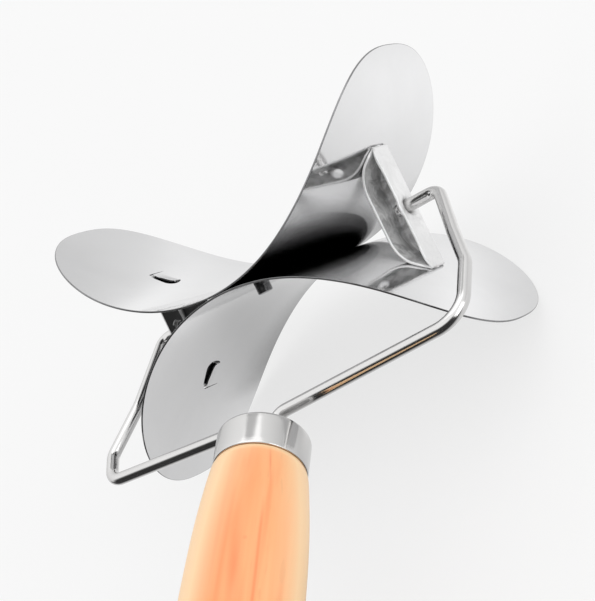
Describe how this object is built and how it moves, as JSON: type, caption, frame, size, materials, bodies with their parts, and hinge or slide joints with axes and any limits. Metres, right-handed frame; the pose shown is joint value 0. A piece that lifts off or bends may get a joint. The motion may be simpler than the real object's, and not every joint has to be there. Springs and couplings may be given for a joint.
{
  "type": "rolling dough cutter",
  "caption": "Hand cutter with two crossed, curved sheet blades on a free-turning roller, held by a bent wire yoke with a turned wooden handle; it cuts triangles from sheeted dough.",
  "frame": {"origin": "middle of the roller's axis of turning, half way between the two pins of the yoke", "axes": "+X along the roller axis, +Y from the handle towards the roller along the handle's axis, +Z normal to the plane of the wire yoke"},
  "size_m": [0.1212, 0.2137, 0.0768],
  "materials": {
    "wood": "smooth sealed beech",
    "ferrule": "polished with fine turning marks",
    "wire": "drawn wire, bright",
    "blade": "polished stainless sheet",
    "bracket": "pressed sheet, slightly clouded polish",
    "rivet": "satin"
  },
  "bodies": {
    "yoke": {"handle_grip": "wood", "ferrule": "ferrule", "yoke_wire": "wire"},
    "roller": {"blade_upper": "blade", "blade_lower": "blade", "bracket_right": "bracket", "bracket_left": "bracket", "center_rivets": "rivet"}
  },
  "joints": [
    {"name": "roller_spin", "type": "hinge", "parent": "yoke", "child": "roller", "pos_m": [0, 0, 0], "axis": [1, 0, 0], "continuous": true}
  ]
}
